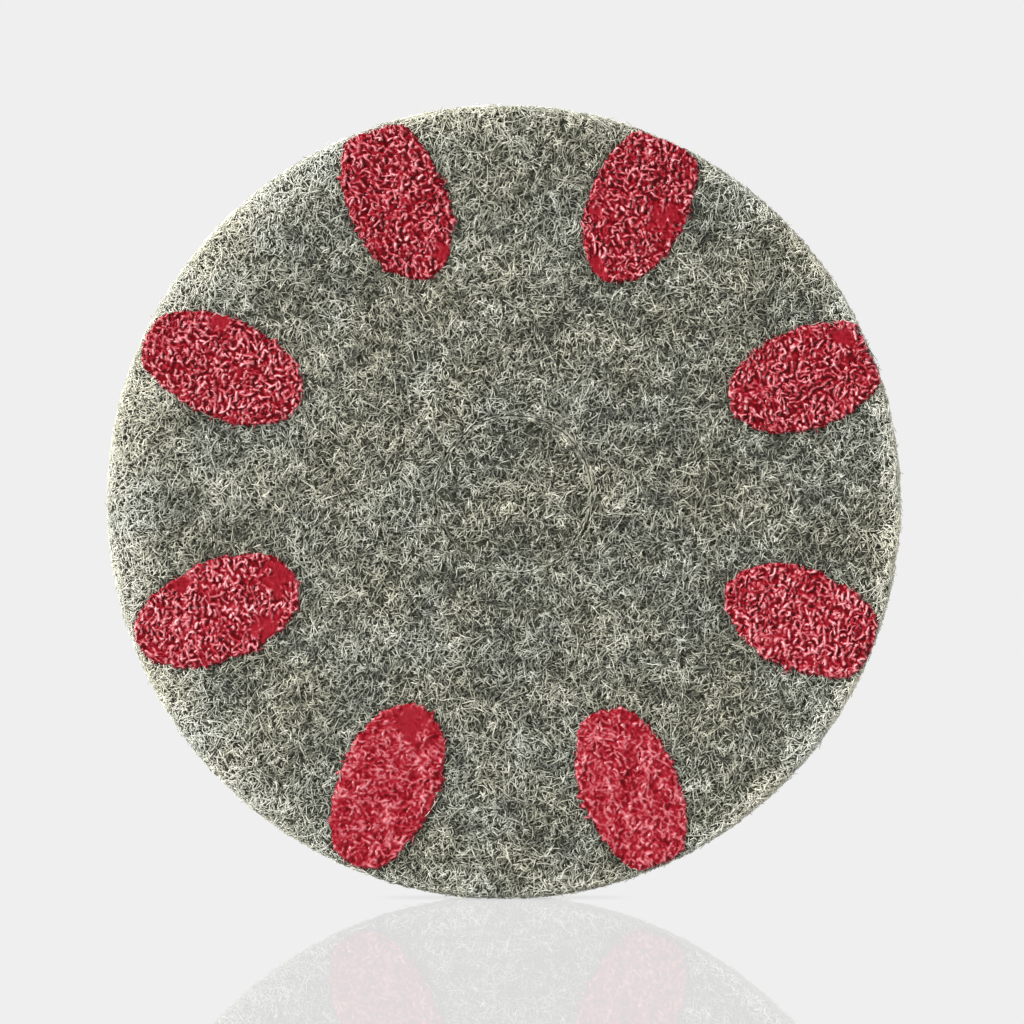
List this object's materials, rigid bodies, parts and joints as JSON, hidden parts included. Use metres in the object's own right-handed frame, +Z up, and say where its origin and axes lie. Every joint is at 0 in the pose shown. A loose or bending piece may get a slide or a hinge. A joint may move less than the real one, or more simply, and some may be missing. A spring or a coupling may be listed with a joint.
{
  "type": "nonwoven polishing pad",
  "caption": "Round nonwoven fibre polishing pad with raised elliptical resin spots round its rim and a die-cut centre plug that pushes out.",
  "frame": {"origin": "centre of the disc, halfway through its thickness", "axes": "+Y along the disc's axis out of the drive face, -Y out of the working face with the resin spots, +Z up with the disc standing on its rim, +X to the right when the working face is looked at"},
  "size_m": [0.432, 0.0265, 0.432],
  "materials": {
    "fibre_web": "open nonwoven web of coarse crimped fibres, cream to grey-green, fuzzy at the cut edges",
    "resin": "deep red resin film over the fibres, glossy, with pinkish ridges where fibres show through"
  },
  "bodies": {
    "pad": {"fibre_pad": "fibre_web", "resin_spot_1": "resin", "resin_spot_2": "resin", "resin_spot_3": "resin", "resin_spot_4": "resin", "resin_spot_5": "resin", "resin_spot_6": "resin", "resin_spot_7": "resin", "resin_spot_8": "resin"},
    "plug": {"centre_plug": "fibre_web"}
  },
  "joints": [
    {"name": "plug_push_out", "type": "slide", "parent": "pad", "child": "plug", "axis": [0, 1, 0], "range_m": [-0.03, 0.03]}
  ]
}
